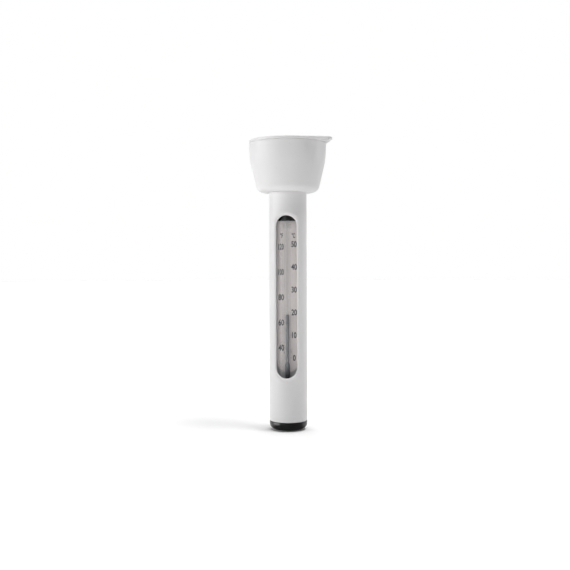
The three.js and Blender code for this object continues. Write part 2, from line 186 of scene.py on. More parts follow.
def eased(points, radius, steps=4, loop=True):
    """Rounds a polyline's corners. A point may carry its own radius as a third number."""
    result = []
    for i, point in enumerate(points):
        own = point[2] if len(point) > 2 else radius
        here = Vector(point[:2])
        if own <= 0 or (not loop and i in (0, len(points) - 1)):
            result.append(tuple(here))
            continue
        before = Vector(points[i - 1][:2])
        after = Vector(points[(i + 1) % len(points)][:2])
        reach = min(own, 0.45 * (before - here).length, 0.45 * (after - here).length)
        start = here + (before - here).normalized() * reach
        end = here + (after - here).normalized() * reach
        result += curve(start, here, end, steps)
    return result


def arc(centre, radius, start, end, steps):
    """Points of an arc in degrees, as (radius, height)."""
    angles = [math.radians(start + (end - start) * i / steps) for i in range(steps + 1)]
    return [(centre[0] + radius * math.cos(a), centre[1] + radius * math.sin(a)) for a in angles]


def groove(surface_r, floor_r, first_z, last_z):
    """The four corners of a groove for a seal or a ring, each with its radius for eased()."""
    return [
        (surface_r, first_z, 0.1), (floor_r, first_z, 0.1),
        (floor_r, last_z, 0.1), (surface_r, last_z, 0.1),
    ]


def even_angles(count):
    return [2 * math.pi * i / count for i in range(count)]


def turned(profile, angles=None, centre=(0, 0), loop=False):
    """Vertices and faces of a turned solid. Angles run from -Y towards +X."""
    angles = angles or even_angles(AROUND)
    count = len(angles)
    verts = []
    for r, z in profile:
        for a in angles:
            verts.append((centre[0] + r * math.sin(a), centre[1] - r * math.cos(a), z))
    faces = []
    rows = len(profile) if loop else len(profile) - 1
    for row in range(rows):
        above = (row + 1) % len(profile)
        if profile[row][0] < 1e-6 and profile[above][0] < 1e-6:
            continue  # both rows lie on the axis
        for column in range(count):
            beside = (column + 1) % count
            faces.append((
                row * count + column,
                row * count + beside,
                above * count + beside,
                above * count + column,
            ))
    return verts, faces


def turned_piece(name, profile, slot, loop=False, around=AROUND, centre=(0, 0), **more):
    """A piece turned about an upright axis. loop closes the profile on itself."""
    verts, faces = turned(profile, even_angles(around), centre, loop)
    return mesh_piece(name, verts, faces, slot, **more)


def ring_section(mean, section, z, steps=16):
    """An O-ring's round section."""
    return arc((mean, z), section, 0, 360 - 360 / steps, steps - 1)


# ---- Materials -----------------------------------------------------------------------------
# Socket numbers of a Mix node that mixes colours.
MIX_FIRST = 6
MIX_SECOND = 7
MIX_RESULT = 2


class Nodes:
    """Short calls for one material's node tree."""

    def __init__(self, name):
        self.material = bpy.data.materials.new(name)
        self.material.use_nodes = True
        self.tree = self.material.node_tree
        self.tree.nodes.clear()
        self.out = self.tree.nodes.new("ShaderNodeOutputMaterial")
        self.place = self.add("ShaderNodeTexCoord").outputs["Object"]

    def add(self, kind, **settings):
        node = self.tree.nodes.new(kind)
        for key, value in settings.items():
            setattr(node, key, value)
        return node

    def link(self, a, b):
        self.tree.links.new(a, b)

    def noise(self, scale, detail=4, stretch=(1, 1, 1), rough=0.55):
        """Noise in object space. scale is features per metre."""
        mapping = self.add("ShaderNodeMapping")
        mapping.inputs["Scale"].default_value = stretch
        self.link(self.place, mapping.inputs["Vector"])
        node = self.add("ShaderNodeTexNoise")
        node.inputs["Scale"].default_value = scale
        node.inputs["Detail"].default_value = detail
        node.inputs["Roughness"].default_value = rough
        self.link(mapping.outputs["Vector"], node.inputs["Vector"])
        return node.outputs["Fac"]

    def spread(self, value, low, high, from_low=0.3, from_high=0.7):
        """Stretches the middle of a noise's range over low to high."""
        node = self.add("ShaderNodeMapRange")
        node.inputs["From Min"].default_value = from_low
        node.inputs["From Max"].default_value = from_high
        node.inputs["To Min"].default_value = low
        node.inputs["To Max"].default_value = high
        self.link(value, node.inputs["Value"])
        return node.outputs["Result"]

    def blend_colours(self, factor, first, second):
        """From one fixed colour to another."""
        node = self.add("ShaderNodeMix", data_type="RGBA")
        self.link(factor, node.inputs["Factor"])
        node.inputs[MIX_FIRST].default_value = (*first, 1)
        node.inputs[MIX_SECOND].default_value = (*second, 1)
        return node.outputs[MIX_RESULT]

    def mix_in(self, factor, colour_socket, second):
        """From a colour made by other nodes to a fixed one."""
        node = self.add("ShaderNodeMix", data_type="RGBA")
        self.link(factor, node.inputs["Factor"])
        self.link(colour_socket, node.inputs[MIX_FIRST])
        node.inputs[MIX_SECOND].default_value = (*second, 1)
        return node.outputs[MIX_RESULT]

    def bump(self, height, strength, distance, before=None):
        """Fine relief, on top of the relief that came before. distance is metres."""
        node = self.add("ShaderNodeBump")
        node.inputs["Strength"].default_value = strength
        node.inputs["Distance"].default_value = distance
        self.link(height, node.inputs["Height"])
        if before is not None:
            self.link(before, node.inputs["Normal"])
        return node.outputs["Normal"]

    def principled(self, colour, roughness, normal=None, **uniform):
        node = self.add("ShaderNodeBsdfPrincipled")
        self.link(colour, node.inputs["Base Color"])
        self.link(roughness, node.inputs["Roughness"])
        if normal is not None:
            self.link(normal, node.inputs["Normal"])
        for key, value in uniform.items():
            node.inputs[key.replace("_", " ")].default_value = value
        return node

    def finish(self, shader):
        self.link(shader, self.out.inputs["Surface"])
        return self.material


def moulded_plastic(name, light, dark, gloss, grain=0.12, specks=None, gloss_ior=1.5):
    """Injection-moulded plastic: faint flow shading, a fine grain, hairline scuffs, few specks."""
    n = Nodes(name)
    flow = n.spread(n.noise(38, 3, (1, 1, 0.35)), 0, 1)
    colour = n.blend_colours(flow, light, dark)
    scuffs = n.noise(900, 2, (1, 1, 0.06), 0.7)
    scuff_mask = n.spread(scuffs, 0, 1, 0.66, 0.74)
    if specks is not None:
        dots = n.spread(n.noise(700, 2), 0, 0.55, 0.71, 0.78)
        colour = n.mix_in(dots, colour, specks)
    patches = n.noise(75, 4)
    low, high = gloss
    rough = n.add("ShaderNodeMath", operation="MULTIPLY_ADD")
    n.link(scuff_mask, rough.inputs[0])
    rough.inputs[1].default_value = 0.12
    n.link(n.spread(patches, low, high), rough.inputs[2])
    skin = n.bump(n.noise(2600, 2), grain, 0.00004)
    worn = n.bump(scuffs, grain * 0.6, 0.00003, skin)
    shader = n.principled(colour, rough.outputs[0], worn, IOR=gloss_ior)
    return n.finish(shader.outputs[0])


def see_through(name, tint, gloss, straight_on, edge_on, smears):
    """Clear plastic or glass as a thin skin: it passes light straight on and mirrors the room
    more and more towards a slant. Faint smears vary its gloss, and drawn lines run along it."""
    n = Nodes(name)
    smear = n.noise(smears, 4, (1, 1, 0.25))
    lines = n.noise(420, 2, (1, 1, 0.02))
    normal = n.bump(lines, 0.02, 0.00001, n.bump(smear, 0.02, 0.00005))
    clear = n.add("ShaderNodeBsdfTransparent")
    stained = tuple(0.985 * c for c in tint)
    n.link(n.blend_colours(n.spread(smear, 0, 1), tint, stained), clear.inputs[0])
    mirror = n.add("ShaderNodeBsdfGlossy")
    n.link(n.spread(smear, *gloss), mirror.inputs["Roughness"])
    n.link(normal, mirror.inputs["Normal"])
    slant = n.add("ShaderNodeLayerWeight")
    slant.inputs["Blend"].default_value = 0.5
    steep = n.add("ShaderNodeMath", operation="POWER")
    n.link(slant.outputs["Facing"], steep.inputs[0])
    steep.inputs[1].default_value = 5
    share = n.add("ShaderNodeMath", operation="MULTIPLY_ADD")
    n.link(steep.outputs[0], share.inputs[0])
    share.inputs[1].default_value = edge_on - straight_on
    share.inputs[2].default_value = straight_on
    mix = n.add("ShaderNodeMixShader")
    n.link(share.outputs[0], mix.inputs[0])
    n.link(clear.outputs[0], mix.inputs[1])
    n.link(mirror.outputs[0], mix.inputs[2])
    return n.finish(mix.outputs[0])


def liquid_material(name, thin, thick, paler=None):
    """Dark dyed spirit: slightly lighter streaks where it wets the glass. paler is (colour, low,
    high): between those heights above the piece's origin the spirit pales to that colour."""
    n = Nodes(name)
    streak = n.spread(n.noise(900, 3, (1, 1, 0.08)), 0, 1)
    colour = n.blend_colours(streak, thick, thin)
    if paler is not None:
        lightest, low, high = paler
        height = n.add("ShaderNodeSeparateXYZ")
        n.link(n.place, height.inputs[0])
        rise = n.spread(height.outputs["Z"], 0, 1, low * MM, high * MM)
        colour = n.mix_in(rise, colour, lightest)
    rough = n.spread(n.noise(500, 3), 0.16, 0.26)
    shader = n.principled(colour, rough, n.bump(streak, 0.05, 0.00005), IOR=1.36)
    return n.finish(shader.outputs[0])


def card_material(name):
    """The scale plate: matt warm grey sheet with a rolled grain and a few darker fibres."""
    n = Nodes(name)
    cloud = n.spread(n.noise(160, 5), 0, 1)
    colour = n.blend_colours(cloud, (0.93, 0.87, 0.855), (0.89, 0.83, 0.815))
    fibres = n.spread(n.noise(1400, 3, (1, 1, 0.12)), 0, 0.35, 0.6, 0.75)
    colour = n.mix_in(fibres, colour, (0.62, 0.58, 0.56))
    rough = n.spread(n.noise(420, 3), 0.45, 0.62)
    normal = n.bump(n.noise(1800, 3, (1, 1, 0.3)), 0.14, 0.00005)
    return n.finish(n.principled(colour, rough, normal).outputs[0])


def ink_material(name):
    """Screen-printed ink: nearly even, a little thin in places."""
    n = Nodes(name)
    thin = n.spread(n.noise(1600, 3), 0, 1, 0.45, 0.75)
    colour = n.blend_colours(thin, (0.07, 0.075, 0.085), (0.13, 0.135, 0.145))
    rough = n.spread(n.noise(700, 2), 0.4, 0.55)
    return n.finish(n.principled(colour, rough, n.bump(thin, 0.1, 0.00003)).outputs[0])


def rubber_material(name, fresh, bloomed):
    """Moulded rubber with bloom and a dusty grain."""
    n = Nodes(name)
    bloom = n.spread(n.noise(120, 5), 0, 1, 0.42, 0.8)
    colour = n.blend_colours(bloom, fresh, bloomed)
    rough = n.spread(n.noise(300, 4), 0.45, 0.7)
    normal = n.bump(n.noise(2200, 3), 0.3, 0.00006)
    return n.finish(n.principled(colour, rough, normal).outputs[0])


def steel_material(name):
    """Turned steel: fine rings round the axis and a few oxide spots."""
    n = Nodes(name)
    spots = n.spread(n.noise(260, 5), 0, 0.7, 0.6, 0.75)
    colour = n.blend_colours(spots, (0.52, 0.52, 0.53), (0.26, 0.21, 0.17))
    turning = n.noise(3000, 2, (0.03, 0.03, 1))
    rough = n.spread(n.noise(200, 4), 0.28, 0.45)
    normal = n.bump(turning, 0.25, 0.00004)
    return n.finish(n.principled(colour, rough, normal, Metallic=1.0).outputs[0])


def foam_material(name):
    """Closed-cell foam: cut cells as a rough, pitted skin."""
    n = Nodes(name)
    cells = n.add("ShaderNodeTexVoronoi")
    cells.inputs["Scale"].default_value = 1500
    n.link(n.place, cells.inputs["Vector"])
    shade = n.spread(cells.outputs["Distance"], 0, 1, 0.1, 0.6)
    colour = n.blend_colours(shade, (0.62, 0.6, 0.56), (0.45, 0.43, 0.4))
    rough = n.spread(n.noise(300, 3), 0.8, 0.95)
    normal = n.bump(cells.outputs["Distance"], 0.5, 0.0002)
    return n.finish(n.principled(colour, rough, normal).outputs[0])


WHITE = moulded_plastic(
    "white_abs", (0.738, 0.731, 0.733), (0.708, 0.701, 0.703), (0.30, 0.42),
    specks=(0.52, 0.51, 0.49),
)
BLACK = moulded_plastic(
    "black_plastic", (0.009, 0.009, 0.0095), (0.014, 0.014, 0.0145), (0.17, 0.27), grain=0.06,
    gloss_ior=1.58,
)
RUBBER = rubber_material("black_rubber", (0.012, 0.012, 0.013), (0.03, 0.03, 0.031))
GREY_RUBBER = rubber_material("grey_rubber", (0.80, 0.805, 0.815), (0.72, 0.725, 0.735))
CLEAR = see_through("clear_plastic", (0.996, 0.997, 0.997), (0.05, 0.10), 0.02, 0.9, 60)
GLASS = see_through("glass", (0.993, 0.996, 0.996), (0.03, 0.07), 0.02, 0.5, 90)
SPIRIT = liquid_material("spirit_thread", (0.36, 0.365, 0.385), (0.30, 0.305, 0.325))
SPIRIT_DEEP = liquid_material(
    "spirit_bulb", (0.085, 0.09, 0.10), (0.055, 0.06, 0.065),
    paler=((0.24, 0.25, 0.27), bulb_low.z + 4, bulb_high.z - 1.5),
)
CARD = card_material("scale_card")
INK = ink_material("scale_ink")
FOAM = foam_material("foam")
STEEL = steel_material("steel")
SLOT_MATERIALS = {
    "white_abs": WHITE, "black_plastic": BLACK, "black_rubber": RUBBER,
    "grey_rubber": GREY_RUBBER, "clear_plastic": CLEAR, "glass": GLASS, "spirit": SPIRIT,
    "scale_card": CARD, "scale_ink": INK, "foam": FOAM, "steel": STEEL,
}


def dress(piece, material):
    piece.data.materials.clear()
    piece.data.materials.append(material)
    return piece


# ---- Float head ----------------------------------------------------------------------------
def float_cup():
    """The tapered cup with its socket for the tube, rounded as a moulding is."""
    base, rim = cup_low.z, cup_high.z
    wall = 2.0
    corner = 5.6  # radius of the cup's lower edge
    slope_degrees = 13.3
    slope = math.radians(slope_degrees)
    taper_r, taper_z = 25.7, 184.0  # the taper's upper end
    bend = (26.55, 187.6)
    corner_z = base + corner
    touch_z = corner_z - corner * math.sin(slope)
    touch_r = taper_r - (taper_z - touch_z) * math.tan(slope)
    centre = (touch_r - corner * math.cos(slope), corner_z)
    outside = arc(centre, corner, -90, -slope_degrees, 14)
    # Above the taper the wall turns upright along one smooth curve.
    outside += curve((taper_r, taper_z), bend, (HEAD_R - 0.1, rim - 1), 16)
    rim_r = HEAD_R - wall
    upright_low = 192.4  # the inner wall is upright above this
    shoulder_r, shoulder_z = 26.2 - wall, 186.9
    inside = arc(centre, corner - wall, -slope_degrees, -90, 8)
    collar_r, collar_top = 15.3, 176.0
    socket_r = TUBE_R + 0.12
    groove_r, groove_low, groove_high = collar_r - 0.9, 168.7, 170.5
    profile = outside + eased([
        (HEAD_R - 0.1, rim - 0.9, 0), (HEAD_R - 0.12, rim, 0.15), (rim_r, rim, 0.3),
        (rim_r, upright_low, 1), (shoulder_r, shoulder_z, 1), (taper_r - wall, taper_z, 0.5),
    ], 0.3, loop=False) + inside + eased([
        (collar_r + 1, base + wall, 0), (collar_r, base + wall, 0.6), (collar_r, collar_top, 0.3),
        (socket_r, collar_top, 0.3), *groove(socket_r, groove_r, groove_high, groove_low),
        (socket_r, base, 0.25), (centre[0] - 0.5, base, 0),
    ], 0.3, loop=False)
    piece = turned_piece(
        "float_cup_shell", profile, "white_abs", loop=True, around=200, replaces=["float_cup"]
    )
    return dress(piece, WHITE)


TAB_ANGLE = math.radians(-30)
TAB_R = 4.9  # the tab's round end
TAB_END = (lid_high.x - INSIDE - TAB_R) / math.cos(TAB_ANGLE)  # its centre, from the axis
EYE_R = 3.0
LONGEST_SIDE = 2.2  # of a face along the tab's straight sides


def tear_drop(disc_r, end_r, steps=96, end_steps=24):
    """The lid's plan from above: a disc and the tab's round end joined by tangents."""
    lean = math.acos((disc_r - end_r) / TAB_END)
    centre = Vector((TAB_END * math.cos(TAB_ANGLE), TAB_END * math.sin(TAB_ANGLE)))
    points = []
    first, last = TAB_ANGLE + lean, TAB_ANGLE - lean + 2 * math.pi
    for i in range(steps + 1):
        a = first + (last - first) * i / steps
        points.append(Vector((disc_r * math.cos(a), disc_r * math.sin(a))))
    for i in range(end_steps + 1):
        a = TAB_ANGLE - lean + 2 * lean * i / end_steps
        points.append(centre + Vector((end_r * math.cos(a), end_r * math.sin(a))))
    # Points along the two tangents, so that no side face is long and thin.
    result = []
    for i, point in enumerate(points):
        following = points[(i + 1) % len(points)]
        result.append(point)
        parts = int((following - point).length / LONGEST_SIDE)
        for k in range(1, parts):
            result.append(point.lerp(following, k / parts))
    return result


def float_lid():
    """The lid plate with rolled edges and a countersunk tether eye, and its skirt below."""
    top, under = lid_high.z, cup_high.z + 0.06
    ease, under_ease = 0.55, 0.25  # radii of the upper and the lower edge
    eye = Vector((TAB_END * math.cos(TAB_ANGLE), TAB_END * math.sin(TAB_ANGLE)))
    verts, faces = [], []

    def add_ring(points, z):
        start = len(verts)
        verts.extend((p.x, p.y, z) for p in points)
        return start, len(points)

    def join(a, b):
        for i in range(a[1]):
            j = (i + 1) % a[1]
            faces.append((a[0] + i, a[0] + j, b[0] + j, b[0] + i))

    def offset_outline(inset):
        return tear_drop(HEAD_R - inset, TAB_R - inset)

    def circle(centre, radius, count):
        angles = even_angles(count)
        return [centre + Vector((radius * math.cos(a), radius * math.sin(a))) for a in angles]

    def add_rings(outlines):
        """Adds (points, height) outlines and the band of faces between each two."""
        rings = [add_ring(points, z) for points, z in outlines]
        for a, b in zip(rings, rings[1:]):
            join(a, b)
        return rings

    quarter_turn = [math.radians(15 * i) for i in range(7)]
    edge = []
    for a in quarter_turn:
        edge.append((ease - ease * math.sin(a), top - ease + ease * math.cos(a)))
    for a in quarter_turn:
        inset = under_ease - under_ease * math.cos(a)
        edge.append((inset, under + under_ease - under_ease * math.sin(a)))
    rings = add_rings([(offset_outline(inset), z) for inset, z in edge])
    eye_count = 48
    eye_edge = [(EYE_R + 0.4, top), (EYE_R + 0.12, top - 0.1), (EYE_R, top - 0.4),
                (EYE_R, under + 0.4), (EYE_R + 0.12, under + 0.1), (EYE_R + 0.4, under)]
    eye_rings = add_rings([(circle(eye, r, eye_count), z) for r, z in eye_edge])
    skirt_r, skirt_wall, skirt_low = 24.55, 1.8, lid_low.z
    groove_r, groove_low, groove_high = skirt_r - 1.15, 193.1, 195.1
    skirt = eased([
        (skirt_r, under, 0), *groove(skirt_r, groove_r, groove_high, groove_low),
        (skirt_r, skirt_low, 0.6), (skirt_r - skirt_wall, skirt_low, 0.3),
        (skirt_r - skirt_wall, under, 0),
    ], 0.2, loop=False)
    skirt_rings = add_rings([(circle(Vector((0, 0)), r, AROUND), z) for r, z in skirt])

    def cover(outline, holes):
        """Fills the flat between one ring and the rings inside it."""
        loops = [outline, *holes]
        flat = [[Vector(verts[start + i]) for i in range(count)] for start, count in loops]
        index = [start + i for start, count in loops for i in range(count)]
        for triangle in tessellate_polygon(flat):
            faces.append(tuple(index[i] for i in triangle))

    cover(rings[0], [eye_rings[0]])
    cover(rings[-1], [eye_rings[-1], skirt_rings[0]])
    cover(skirt_rings[-1], [])
    piece = mesh_piece(
        "float_lid_disc", verts, faces, "white_abs", replaces=["float_lid"], crease=40
    )
    return dress(piece, WHITE)


# ---- Tube with its window ------------------------------------------------------------------
def body_tube():
    """A turned tube whose front patch is opened by rings that run from the outer skin over
    the bevel and the lip to the inner skin."""
    end_steps = 48  # in each of the window's round ends
    side_steps = 60
    end_r = SLOT_HALF_W
    z_top, z_low = SLOT_HIGH - end_r, SLOT_LOW + end_r
    patch = math.radians(66)  # half the patch's angle round the tube
    patch_reach = 12.5  # the patch's height past the centres of the slot's round ends

    # Each outline point: (cosine, sine, centre height) and where it meets the patch's edge.
    spokes = []

    def side_spokes(sign, start, end, first):
        for i in range(first, side_steps):
            z = start + (end - start) * i / side_steps
            spokes.append((sign, 0, z, sign * patch, z))

    def end_spokes(centre, turn, count):
        for i in range(count):
            phi = turn + math.pi * i / end_steps
            c, s = math.cos(phi), math.sin(phi)
            reach = max(abs(c), abs(s))
            spokes.append((c, s, centre, patch * c / reach, centre + patch_reach * s / reach))

    side_spokes(1, z_low, z_top, 0)
    end_spokes(z_top, 0, end_steps + 1)
    side_spokes(-1, z_top, z_low, 1)
    end_spokes(z_low, math.pi, end_steps)

    def outline(spread, radius):
        ring = []
        for c, s, centre, _, _ in spokes:
            x = (SLOT_HALF_W + BEVEL_X * spread) * c
            ring.append((math.asin(x / radius), centre + (end_r + BEVEL_Z * spread) * s))
        return ring

    def towards_edge(ring, share):
        return [
            (t + (spoke[3] - t) * share, z + (spoke[4] - z) * share)
            for (t, z), spoke in zip(ring, spokes)
        ]

    # The section through the window's edge, as (distance out from the slot, radius). It is drawn
    # for a bevel this wide, and outline() stretches it. The bevel rolls over into the lip.
    drawn_bevel = 2.7
    section = [(3.3, TUBE_R)]
    section += curve((drawn_bevel, TUBE_R), (0.3, LIP_R + 0.65), (0, LIP_R - 0.3), 12)
    section += [(0.06, BORE_R + 0.06), (0.2, BORE_R), (0.6, BORE_R)]
    # Rings run in from the patch's edge, over the section, and back out to the patch's edge.
    rings = []
    outer_start = outline(section[0][0] / drawn_bevel, TUBE_R)
    inner_start = outline(section[-1][0] / drawn_bevel, BORE_R)
    for share in (1, 0.75, 0.5, 0.3, 0.15, 0.05):
        rings.append((towards_edge(outer_start, share), TUBE_R))
    for distance, radius in section:
        rings.append((outline(distance / drawn_bevel, radius), radius))
    for share in (0.1, 0.4, 0.7, 1):
        rings.append((towards_edge(inner_start, share), BORE_R))

    columns = sorted({round(s[3], 9) for s in spokes})
    back = 96  # columns round the rest of the tube
    columns += [patch + (2 * math.pi - 2 * patch) * i / back for i in range(1, back)]
    rows = sorted({round(s[4], 9) for s in spokes})

    seam = tube_low.z
    ledge_r, ledge_z = 9.5, 163.0  # for the capsule's pad
    bulkhead = tube_high.z - 2
    groove_r, groove_low, groove_high = 12.1, 176.1, 178.3  # for the lock ring
    inner = [(0, bulkhead)] + eased([
        (0.5, bulkhead, 0), (ledge_r, bulkhead, 0.4), (ledge_r, ledge_z, 0.2),
        (BORE_R, ledge_z, 0.3), (BORE_R, rows[-1] + 0.5, 0),
    ], 0.2, loop=False) + [(BORE_R, z) for z in reversed(rows)]
    foot = eased([
        (BORE_R, rows[0] - 1, 0), (BORE_R, seam, 0.2), (TUBE_R, seam, 0.8),
        (TUBE_R, rows[0] - 1, 0),
    ], 0.2, loop=False)
    outer = [(TUBE_R, z) for z in rows] + eased([
        (TUBE_R, rows[-1] + 0.5, 0), *groove(TUBE_R, groove_r, groove_low, groove_high),
        (TUBE_R, tube_high.z, 0.7), (0.5, tube_high.z, 0),
    ], 0.2, loop=False) + [(0, tube_high.z)]
    profile = inner + foot + outer
    verts, faces = turned(profile, columns)
    count = len(columns)
    on_patch = {i for i, t in enumerate(columns) if abs(t) <= patch + 1e-6}
    first_inner = len(inner) - len(rows)
    first_outer = len(inner) + len(foot)
    skins = [set(range(first, first + len(rows))) for first in (first_inner, first_outer)]

    def in_patch(face):
        face_rows = {i // count for i in face}
        face_columns = {i % count for i in face}
        return face_columns <= on_patch and any(face_rows <= skin for skin in skins)

    faces = [face for face in faces if not in_patch(face)]
    points = len(spokes)
    base = len(verts)
    for ring, radius in rings:
        verts.extend((radius * math.sin(t), -radius * math.cos(t), z) for t, z in ring)
    for k in range(len(rings) - 1):
        a, b = base + k * points, base + (k + 1) * points
        for i in range(points):
            j = (i + 1) % points
            faces.append((a + i, a + j, b + j, b + i))
    piece = mesh_piece(
        "body_tube_shell", verts, faces, "white_abs", replaces=["body_tube"], crease=32
    )
    return dress(piece, WHITE)


# ---- Weighted end --------------------------------------------------------------------------
def end_cap():
    """The cap: a rounded foot below the tube and a hollow spigot inside it."""
    corner = 4.5  # radius of the foot's edge
    seam = tube_low.z
    shoulder = seam - 0.02
    top = cap_high.z
    spigot = BORE_R - 0.25
    groove_r, groove_low, groove_high = spigot - 1.1, 9.6, 11.4
    hollow_r, hollow_floor = 8.95, 2.5
    profile = [(0, 0)] + arc((TUBE_R - corner, corner), corner, -90, 0, 14) + eased([
        (TUBE_R, seam - 1, 0), (TUBE_R, shoulder, 0.2), (spigot, shoulder, 0.2),
        *groove(spigot, groove_r, groove_low, groove_high), (spigot, top, 0.7),
        (hollow_r, top, 0.3), (hollow_r, hollow_floor, 0.5), (0, hollow_floor, 0),
    ], 0.2, loop=False)
    piece = turned_piece("end_cap_shell", profile, "black_plastic", replaces=["end_cap"])
    return dress(piece, BLACK)


def inner_turnings():
    """The seals, pads and weight, hidden in the assembled thermometer."""
    def box_ring(node, radius, material, slot, inner=None):
        """A disc, or a ring with an inner radius, that fills the node's box. radius rounds its
        edges."""
        low, high = mm_box(node)
        outer = high.x
        points = [(0, low.z, 0), (outer, low.z), (outer, high.z), (0, high.z, 0)]
        if inner:
            points = [(inner, low.z), (outer, low.z), (outer, high.z), (inner, high.z)]
        profile = eased(points, radius, loop=bool(inner))
        piece = turned_piece(node + "_piece", profile, slot, loop=bool(inner), replaces=[node])
        dress(piece, material)

    box_ring("ballast_weight", 0.9, STEEL, "steel")
    box_ring("ballast_pad", 0.35, FOAM, "foam")
    box_ring("capsule_pad", 0.35, FOAM, "foam", inner=6)
    seals = ("lid_seal", "neck_seal", "capsule_seal_upper", "capsule_seal_lower", "end_cap_seal")
    for node in seals:
        low, high = mm_box(node)
        section = 0.7 if node.startswith("capsule") else 0.6
        profile = ring_section(high.x - section, section, (low.z + high.z) / 2)
        piece = turned_piece(node + "_ring", profile, "black_rubber", loop=True, replaces=[node])
        dress(piece, RUBBER)


# ---- Capsule -------------------------------------------------------------------------------
def clear_capsule():
    """The clear tube round the plate, open at both ends for its plugs."""
    bore = CAPSULE_R - CAPSULE_WALL
    profile = eased([
        (bore, capsule_low.z), (CAPSULE_R, capsule_low.z), (CAPSULE_R, capsule_high.z),
        (bore, capsule_high.z),
    ], 0.2)
    piece = turned_piece(
        "clear_capsule_wall", profile, "clear_plastic", loop=True, replaces=["clear_capsule"]
    )
    return dress(piece, CLEAR)


def plate_shape(half_w, low, high, steps=32):
    """The plate's outline: square above, a half circle below."""
    points = [(half_w, high), (-half_w, high)]
    points += arc((0, low + half_w), half_w, 180, 360, steps)
    return points


def scale_plate():
    """The plate with rolled edges. The outline shrinks over the edge's radius on both faces."""
    half_w = plate_high.x
    ease = 0.25
    layers = []
    for k in range(5):
        a = math.pi / 2 * k / 4
        layers.append((ease - ease * math.sin(a), PLATE_FRONT + ease - ease * math.cos(a)))
    layers += [(inset, PLATE_FRONT + PLATE_BACK - y) for inset, y in reversed(layers)]
    verts, faces = [], []
    outlines = []
    for inset, y in layers:
        outline = plate_shape(half_w - inset, plate_low.z + inset, plate_high.z - inset)
        outlines.append(range(len(verts), len(verts) + len(outline)))
        verts.extend((x, y, z) for x, z in outline)
    for a, b in zip(outlines, outlines[1:]):
        for i in range(len(a)):
            j = (i + 1) % len(a)
            faces.append((a[i], a[j], b[j], b[i]))
    faces.append(tuple(outlines[0]))
    faces.append(tuple(outlines[-1]))
    piece = mesh_piece(
        "scale_plate_sheet", verts, faces, "scale_card", replaces=["scale_plate"], crease=50
    )
    return dress(piece, CARD)


BULB_TOP = 45.4  # the bulb's cavity narrows above this
GLASS_GAP = 0.1  # between the bulb's liquid and the glass
LIQUID_R = 1.03  # of the column
OVERLAP = 0.05  # of each piece of liquid with the next


def glass_tube():
    """The drawn glass tube: a rounded bulb end, its cavity and the fine bore above."""
    bulb_r, bore_r = GLASS_R - 0.5, 1.1
    floor = bulb_low.z - GLASS_GAP
    neck = thread_low.z
    outside = arc((0, glass_low.z + GLASS_R), GLASS_R, -90, 0, 12)
    inside = arc((0, floor + bulb_r), bulb_r, 0, -90, 10)
    profile = outside + eased([
        (GLASS_R, glass_low.z + GLASS_R + 1, 0), (GLASS_R, glass_high.z, 0.25),
        (bore_r, glass_high.z, 0.15), (bore_r, neck, 0.8), (bulb_r, BULB_TOP, 0.8),
        (bulb_r, floor + bulb_r + 0.5, 0),
    ], 0.2, loop=False) + inside
    profile[0] = (0, profile[0][1])
    profile[-1] = (0, profile[-1][1])
    piece = turned_piece(
        "glass_tube_wall", profile, "glass", around=FINE_AROUND, centre=(0, GLASS_Y),
        replaces=["glass_tube"],
    )
    return dress(piece, GLASS)


def bulb_liquid():
    """The liquid in the bulb, up to the column's foot."""
    r = bulb_high.x
    top = bulb_high.z + OVERLAP
    profile = arc((0, bulb_low.z + r), r, -90, 0, 10) + eased([
        (r, bulb_low.z + r + 0.5, 0), (r, BULB_TOP - GLASS_GAP, 0.8),
        (LIQUID_R, bulb_high.z - 0.3, 0.4), (LIQUID_R, top, 0), (0, top, 0),
    ], 0.2, loop=False)
    profile[0] = (0, profile[0][1])
    piece = turned_piece(
        "bulb_liquid_drop", profile, "spirit", around=FINE_AROUND, centre=(0, GLASS_Y),
        replaces=["bulb_liquid"],
    )
    return dress(piece, SPIRIT_DEEP)


def liquid_column():
    """The column, with rings at its two ends only, so that it stretches evenly as its top
    moves, and the meniscus on it."""
    low, high = thread_low.z, level_low.z + OVERLAP
    profile = [(0, low), (LIQUID_R, low), (LIQUID_R, high), (0, high)]
    column = turned_piece(
        "liquid_thread_column", profile, "spirit", around=FINE_AROUND, centre=(0, GLASS_Y),
        body=None, replaces=["liquid_thread"],
    )
    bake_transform(column)
    dress(column, SPIRIT)
    dish_depth = 0.32
    profile = [(0, level_low.z), (LIQUID_R, level_low.z)]
    for i in range(11):
        a = math.radians(90 - 9 * i)
        profile.append((LIQUID_R * math.sin(a), level_high.z - dish_depth * math.cos(a) ** 2))
    cap = turned_piece(
        "liquid_meniscus_cap", profile, "spirit", around=FINE_AROUND, centre=(0, GLASS_Y),
        body=LEVEL, replaces=["liquid_meniscus"], crease=60,
    )
    dress(cap, SPIRIT)


# ---- Printing ------------------------------------------------------------------------------
def letters_mesh(text, height):
    """One text as a thin solid mesh that lies in X and Y."""
    letters = bpy.data.curves.new("ink", "FONT")
    letters.body = text
    letters.align_x = "CENTER"
    letters.align_y = "CENTER"
    letters.size = height / CAPITAL_SHARE
    letters.offset = STROKE * height
    letters.extrude = INK_T / 2
    letters.resolution_u = 5
    holder = bpy.data.objects.new("ink", letters)
    bpy.context.scene.collection.objects.link(holder)
    graph = bpy.context.evaluated_depsgraph_get()
    mesh = bpy.data.meshes.new_from_object(holder.evaluated_get(graph), depsgraph=graph)
    bpy.data.objects.remove(holder)
    bpy.data.curves.remove(letters)
    return mesh


